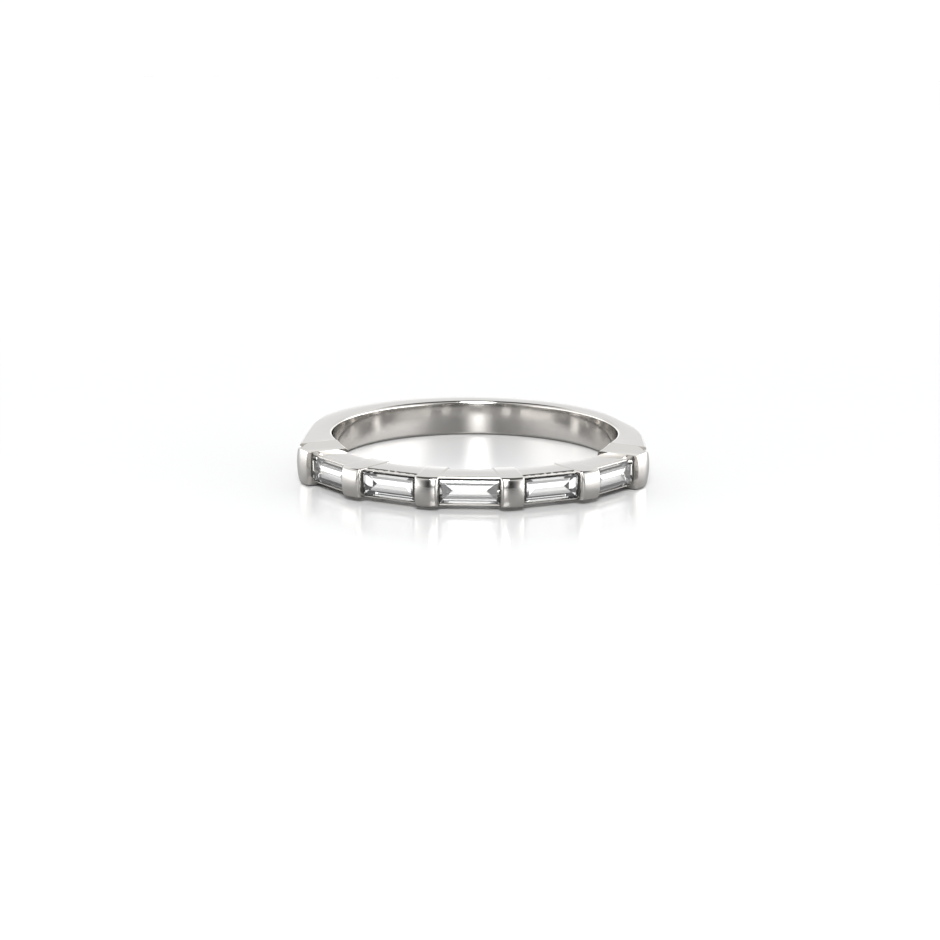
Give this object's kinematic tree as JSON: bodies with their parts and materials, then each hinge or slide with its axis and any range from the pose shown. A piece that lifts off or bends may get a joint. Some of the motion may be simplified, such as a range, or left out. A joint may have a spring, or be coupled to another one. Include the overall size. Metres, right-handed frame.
{
  "type": "half eternity ring with baguette stones",
  "caption": "Finger ring with a plain domed band and a row of step-cut baguette stones held between upright bars across the front.",
  "frame": {"origin": "centre of the finger hole, in the middle of the band's width", "axes": "+Z along the finger's axis, which is upright while the ring lies on its side; the row of stones faces -Y; +X to the right seen from the stones' side"},
  "size_m": [0.0202, 0.021, 0.0022],
  "materials": {
    "white_gold": "polished, rhodium-plated white gold",
    "diamond": "clear, polished facets"
  },
  "bodies": {
    "root": {"ring_mounting": "white_gold", "baguette_1": "diamond", "baguette_2": "diamond", "baguette_3": "diamond", "baguette_4": "diamond", "baguette_5": "diamond"}
  },
  "joints": []
}
